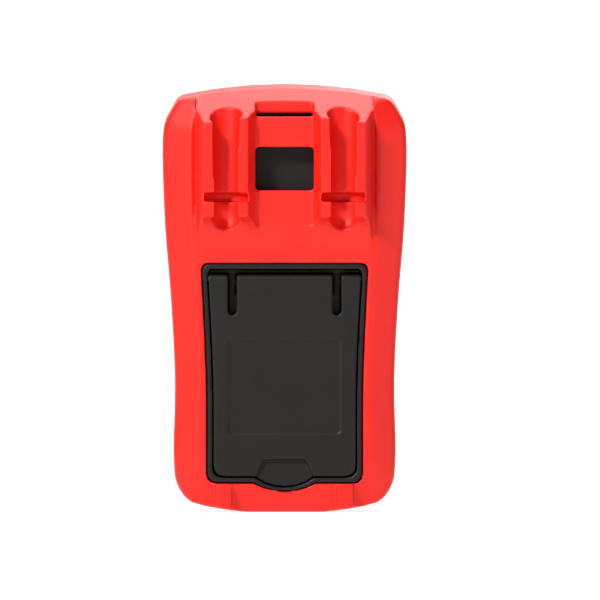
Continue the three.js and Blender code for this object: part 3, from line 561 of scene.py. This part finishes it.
# %% Jacks
SLEEVE_WALL = 0.75  # mm
SLEEVE_GAP = 0.3  # mm between a sleeve and its collar
COLLAR_LIP = 1.1  # mm, how much wider a collar is under its crown
COLLAR_STEP = 5.5  # mm from the crown down to where it narrows
CROWN_FLAT = 0.9  # mm, the flat rim outside the dish
DISH = 1.1  # mm deep

for jack in ("amp", "com", "volt"):
    collar, sleeve = "jack_collar_" + jack, "jack_sleeve_" + jack
    (low, high), (tube_low, tube_high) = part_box(collar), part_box(sleeve)
    centre = (low + high) / 2
    outer, back, crown = (high.x - low.x) / 2 / MM, low.y / MM, high.y / MM
    tube_outer = (tube_high.x - tube_low.x) / 2 / MM
    bore, tube_bore = tube_outer + SLEEVE_GAP, tube_outer - SLEEVE_WALL
    step_y = crown - COLLAR_STEP
    dish = [
        (bore, back), (outer - COLLAR_LIP, back), (outer - COLLAR_LIP, step_y), (outer, step_y),
        (outer, crown), (outer - CROWN_FLAT, crown), (bore, crown - DISH),
    ]
    ring = spun(collar + "_turned", rounded_profile(dish, 0.35), centre)
    tube = [
        (tube_bore, tube_low.y / MM), (tube_outer, tube_low.y / MM),
        (tube_outer, tube_high.y / MM), (tube_bore, tube_high.y / MM),
    ]
    lining = spun(sleeve + "_turned", rounded_profile(tube, 0.2), centre)
    for piece, node in ((ring, collar), (lining, sleeve)):
        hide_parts(node)
        show(piece, finishes[slot_of[node]], body_of[node])
print("turned 3 collars and 3 sleeves")

# %% [markdown]
# ## Printing
# The sheet around the knob is screen printed: a tick for each of the knob's ten places, a plain
# number by each, and arcs that group them. The ink lies a few hundredths of a millimetre proud. The
# knob turns clockwise as its user sees it, who looks at the front, so the places run that way from
# the top. Text objects are the simplest way to get well-drawn numerals; they are turned into one
# mesh with the ticks.

# %% Ink
def screen_ink(name, code):
    """Screen ink covers unevenly, which shows as a slow change of tone and gloss."""
    material, tree, shader = new_material(name, IOR=1.5)
    place = add(tree, "ShaderNodeTexCoord").outputs["Object"]
    cover = add(tree, "ShaderNodeTexNoise", Vector=place, Scale=per_metre(2.5), Detail=5.0)
    tone = add(
        tree, "ShaderNodeHueSaturation", Color=linear(code),
        Value=add(
            tree, "ShaderNodeMapRange", Value=cover.outputs["Fac"], To_Min=0.88, To_Max=1.08
        ).outputs["Result"],
    )
    gloss = add(tree, "ShaderNodeMapRange", Value=cover.outputs["Fac"], To_Min=0.35, To_Max=0.55)
    tree.links.new(tone.outputs["Color"], shader.inputs["Base Color"])
    tree.links.new(gloss.outputs["Result"], shader.inputs["Roughness"])
    return material


white_ink = screen_ink("white screen ink", "#e8e8e4")
yellow_ink = screen_ink("yellow screen ink", "#e2b434")
segment_ink = screen_ink("liquid crystal segment", "#4b5547")
print("inks:", [ink.name for ink in (white_ink, yellow_ink, segment_ink)])

# %% [markdown]
# Each print is a handful of flat shapes in one plane. They are gathered in one mesh, drawn as the
# front is seen, then raised by the thickness of the ink and turned to face the front, so a whole
# print is a single piece.

# %% Flat shapes on the front
FACING_FRONT = Matrix(((-1, 0, 0), (0, 0, 1), (0, 1, 0))).to_4x4()  # x to -X, y to +Z, z to +Y
INK = 0.03  # mm, how thick the print is


class Print:
    """Collects flat shapes, drawn as the user sees the front, and raises them into one solid."""

    def __init__(self):
        self.mesh = bmesh.new()

    def shape(self, points_mm):
        corners = [self.mesh.verts.new((x * MM, y * MM, 0.0)) for x, y in points_mm]
        self.mesh.faces.new(corners)

    def bar(self, x, y, width, height, turn=0.0):
        c, s = math.cos(turn), math.sin(turn)
        ends = [(-0.5, -0.5), (0.5, -0.5), (0.5, 0.5), (-0.5, 0.5)]
        spread = [(u * width, v * height) for u, v in ends]
        self.shape([(x + u * c - v * s, y + u * s + v * c) for u, v in spread])

    def arc(self, radius, width, first, last, steps=24):
        turns = [first + (last - first) * i / steps for i in range(steps + 1)]
        inner = [(radius * math.sin(a), radius * math.cos(a)) for a in turns]
        outer = [((radius + width) * math.sin(a), (radius + width) * math.cos(a)) for a in turns]
        for i in range(steps):
            self.shape([inner[i], outer[i], outer[i + 1], inner[i + 1]])

    def words(self, text, x, y, size_mm):
        curve = bpy.data.curves.new(text, "FONT")
        curve.body = text
        curve.size = size_mm * MM
        curve.align_x = curve.align_y = "CENTER"
        curve.resolution_u = 3
        letter = bpy.data.objects.new(text, curve)
        bpy.context.scene.collection.objects.link(letter)
        flat = letter.to_mesh()
        flat.transform(Matrix.Translation((x * MM, y * MM, 0.0)))
        self.mesh.from_mesh(flat)
        letter.to_mesh_clear()
        bpy.data.objects.remove(letter)

    def raised(self, name, middle, surface_y, material, body, slot):
        """Raises the shapes by the ink's thickness from a surface and shows the piece."""
        bmesh.ops.remove_doubles(self.mesh, verts=self.mesh.verts, dist=0.001 * MM)
        raised = bmesh.ops.extrude_face_region(self.mesh, geom=self.mesh.faces[:])
        top = [v for v in raised["geom"] if isinstance(v, bmesh.types.BMVert)]
        bmesh.ops.translate(self.mesh, verts=top, vec=(0.0, 0.0, INK * MM))
        bmesh.ops.recalc_face_normals(self.mesh, faces=self.mesh.faces)
        place = Matrix.Translation((middle.x, surface_y, middle.z))
        self.mesh.transform(place @ FACING_FRONT)
        bmesh.ops.recalc_face_normals(self.mesh, faces=self.mesh.faces)
        mesh = bpy.data.meshes.new(name)
        self.mesh.to_mesh(mesh)
        self.mesh.free()
        show(bpy.data.objects.new(name, mesh), material, body)


print("a print is", INK, "mm thick")

# %% [markdown]
# The knob rests at the top place, which is 0, the switched-off one. The numbers are the usual ones
# of a small tester, and the arcs just inside the ticks join the places that belong together. A
# number stands further out to the side the longer it is, so that it clears its tick.

# %% Dial
knob_low, knob_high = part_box("selector_knob")
film_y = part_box("face_overlay")[1].y
knob_middle = (knob_low + knob_high) / 2
DIAL = 19.5  # mm, where the ticks start
TICK = Vector((0.35, 0.7))  # mm, width and length
NUMBER = 2.1  # mm, the size of a number, and how far out its middle stands up and down the dial
POINTER = Vector((0.8, 6.6))  # mm, width and length of the knob's white line
POINTER_OUT = 11.9  # mm from the knob's axis to the middle of that line
POINTER_DEPTH = 0.3  # mm below the highest point of the knob
ranges = ["0", "600", "200", "20", "2", "200", "20", "2", "20", "2"]
turns = [math.radians(30) * place for place in range(len(ranges))]

dial, groups = Print(), Print()
for turn, text in zip(turns, ranges):
    right, up = math.sin(turn), math.cos(turn)
    middle = DIAL + TICK.y / 2
    dial.bar(right * middle, up * middle, TICK.x, TICK.y, -turn)
    dial.words(text, right * (DIAL + 1.4 + 0.6 * len(text)), up * (DIAL + NUMBER), NUMBER)
for first, last in ((1, 4), (5, 7), (8, 9)):
    groups.arc(DIAL - 0.35, 0.25, turns[first] - 0.1, turns[last] + 0.1)
dial.raised("dial_numbers", knob_middle, film_y, white_ink, "root", "overlay_film")
groups.raised("dial_groups", knob_middle, film_y, yellow_ink, "root", "overlay_film")

pointer = Print()
pointer.bar(0.0, POINTER_OUT, POINTER.x, POINTER.y)
pointer_y = knob_high.y - POINTER_DEPTH * MM
pointer.raised("knob_pointer", knob_middle, pointer_y, white_ink, "selector", "dark_knob")
print("dial with", len(ranges), "places")

# %% [markdown]
# The display is off, but the segments of a liquid crystal still show faintly against the glass. Each
# digit is the usual seven bars, and a row of small ones below is the bar scale.

# %% Display segments
glass_low, glass_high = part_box("lcd_glass")
DIGIT = Vector((7.0, 13.0))  # mm, width and height of a digit
DIGIT_PITCH = 11.5  # mm
STROKE = 1.2  # mm
LEAN = 0.1  # how far a digit leans, as a share of its height
POINT_OUT = 1.6  # mm from a digit's right side to its decimal point
SCALE_Y = -10.8  # mm, the row of the bar scale
SCALE_PITCH = 1.15  # mm

segments = Print()
for column in range(4):
    centre_x = (column - 1.5) * DIGIT_PITCH
    for level in (-1, 0, 1):
        y = level * DIGIT.y / 2
        segments.bar(centre_x + y * LEAN, y, DIGIT.x - STROKE * 1.3, STROKE)
    for side in (-1, 1):
        for level in (-0.5, 0.5):
            y = level * DIGIT.y / 2
            x = centre_x + side * DIGIT.x / 2 + y * LEAN
            segments.bar(x, y, STROKE, DIGIT.y / 2 - STROKE * 1.3, -math.atan(LEAN))
    segments.bar(centre_x + DIGIT.x / 2 + POINT_OUT, -DIGIT.y / 2, STROKE, STROKE)
for tick in range(41):
    segments.bar((tick - 20) * SCALE_PITCH, SCALE_Y, 0.5, 1.6 if tick % 10 == 0 else 1.0)
glass_middle = (glass_low + glass_high) / 2
segments.raised(
    "display_segments", glass_middle, glass_high.y, segment_ink, "root", "display_glass"
)
print("display with 4 digits and a bar scale")

# %% [markdown]
# ## Table and light
# The tester stands on a white table that runs up into a white backdrop, so there is no horizon.
# Such a table is a sheet of milky acrylic lit from below as well, which keeps it white right up to
# the tester and softens the shadow. Part of its brightness is therefore given out, and only part is
# returned from the lamps.

# %% White sweep
GLOW = 0.78  # how bright the table is by itself


def milky_acrylic():
    """Milky acrylic clouds slightly from place to place."""
    material, tree, shader = new_material("milky acrylic", Roughness=0.9, Specular_IOR_Level=0.2)
    place = add(tree, "ShaderNodeTexCoord").outputs["Object"]
    cloud = add(tree, "ShaderNodeTexNoise", Vector=place, Scale=per_metre(60), Detail=3.0)
    ramp = add(tree, "ShaderNodeValToRGB", Fac=cloud.outputs["Fac"])
    colour_steps(ramp, [(0.3, "#a6a6a6"), (0.7, "#aaaaaa")])
    tree.links.new(ramp.outputs["Color"], shader.inputs["Base Color"])
    shader.inputs["Emission Color"].default_value = linear("#ffffff")
    shader.inputs["Emission Strength"].default_value = GLOW
    return material


REACH = 7.0  # metres from the tester to the edge of the table
BACKDROP = 4.8  # metres from the tester to where the table starts to rise
BEND = 1.2  # radius of the curve between table and backdrop
HEIGHT = 5.0  # metres, the top of the backdrop
BEND_STEPS = 12

profile = [(-REACH, 0.0)]
for step in range(BEND_STEPS + 1):
    a = math.radians(90) * step / BEND_STEPS
    profile.append((BACKDROP + BEND * math.sin(a), BEND * (1 - math.cos(a))))
profile.append((BACKDROP + BEND, HEIGHT))
sweep = bpy.data.meshes.new("sweep")
points = [(x, y, z) for x in (-REACH, REACH) for y, z in profile]
count = len(profile)
sweep.from_pydata(points, [], [(i, i + 1, i + 1 + count, i + count) for i in range(count - 1)])
sweep.shade_smooth()
table = bpy.data.objects.new("white_sweep", sweep)
bpy.context.scene.collection.objects.link(table)
table.data.materials.append(milky_acrylic())
print("table", 2 * REACH, "m wide, backdrop", round(BACKDROP + BEND, 1), "m behind the tester")

# %% [markdown]
# Five softboxes light it. A large one hangs overhead and a little behind, and makes the bevelled top
# and the lips of the holders glow. The main light for the back is a small one, high to the left of
# the camera, small enough that the holders' bores keep a dark side. A weak one on the right keeps
# the shadows open. One behind lights the front, and the last whitens the backdrop.

# %% Softboxes
ROOM_LIGHT = 0.12  # how bright the room is around the softboxes


def softbox(name, place, side, power, target=AIM):
    """A square lamp, side metres wide and power watts strong, turned to its target."""
    light = bpy.data.lights.new(name, "AREA")
    light.size = side
    light.energy = power
    lamp = bpy.data.objects.new(name, light)
    lamp.location = place
    lamp.rotation_euler = (target - Vector(place)).to_track_quat("-Z", "Y").to_euler()
    bpy.context.scene.collection.objects.link(lamp)


softbox("overhead", (-0.1, 0.4, 1.0), 0.9, 10.0)
softbox("left_of_camera", (-0.9, -1.2, 1.1), 0.35, 40.0)
softbox("right_of_camera", (1.5, -0.9, 0.3), 0.6, 3.0)
softbox("behind", (0.5, 1.3, 0.9), 0.8, 8.0)
softbox("on_the_backdrop", (0.0, 2.6, 2.2), 1.5, 150.0, target=Vector((0.0, 6.0, 0.4)))

world = bpy.data.worlds.new("white room")
bpy.context.scene.world = world
world.use_nodes = True
world.node_tree.nodes["Background"].inputs["Color"].default_value = linear("#ffffff")
world.node_tree.nodes["Background"].inputs["Strength"].default_value = ROOM_LIGHT
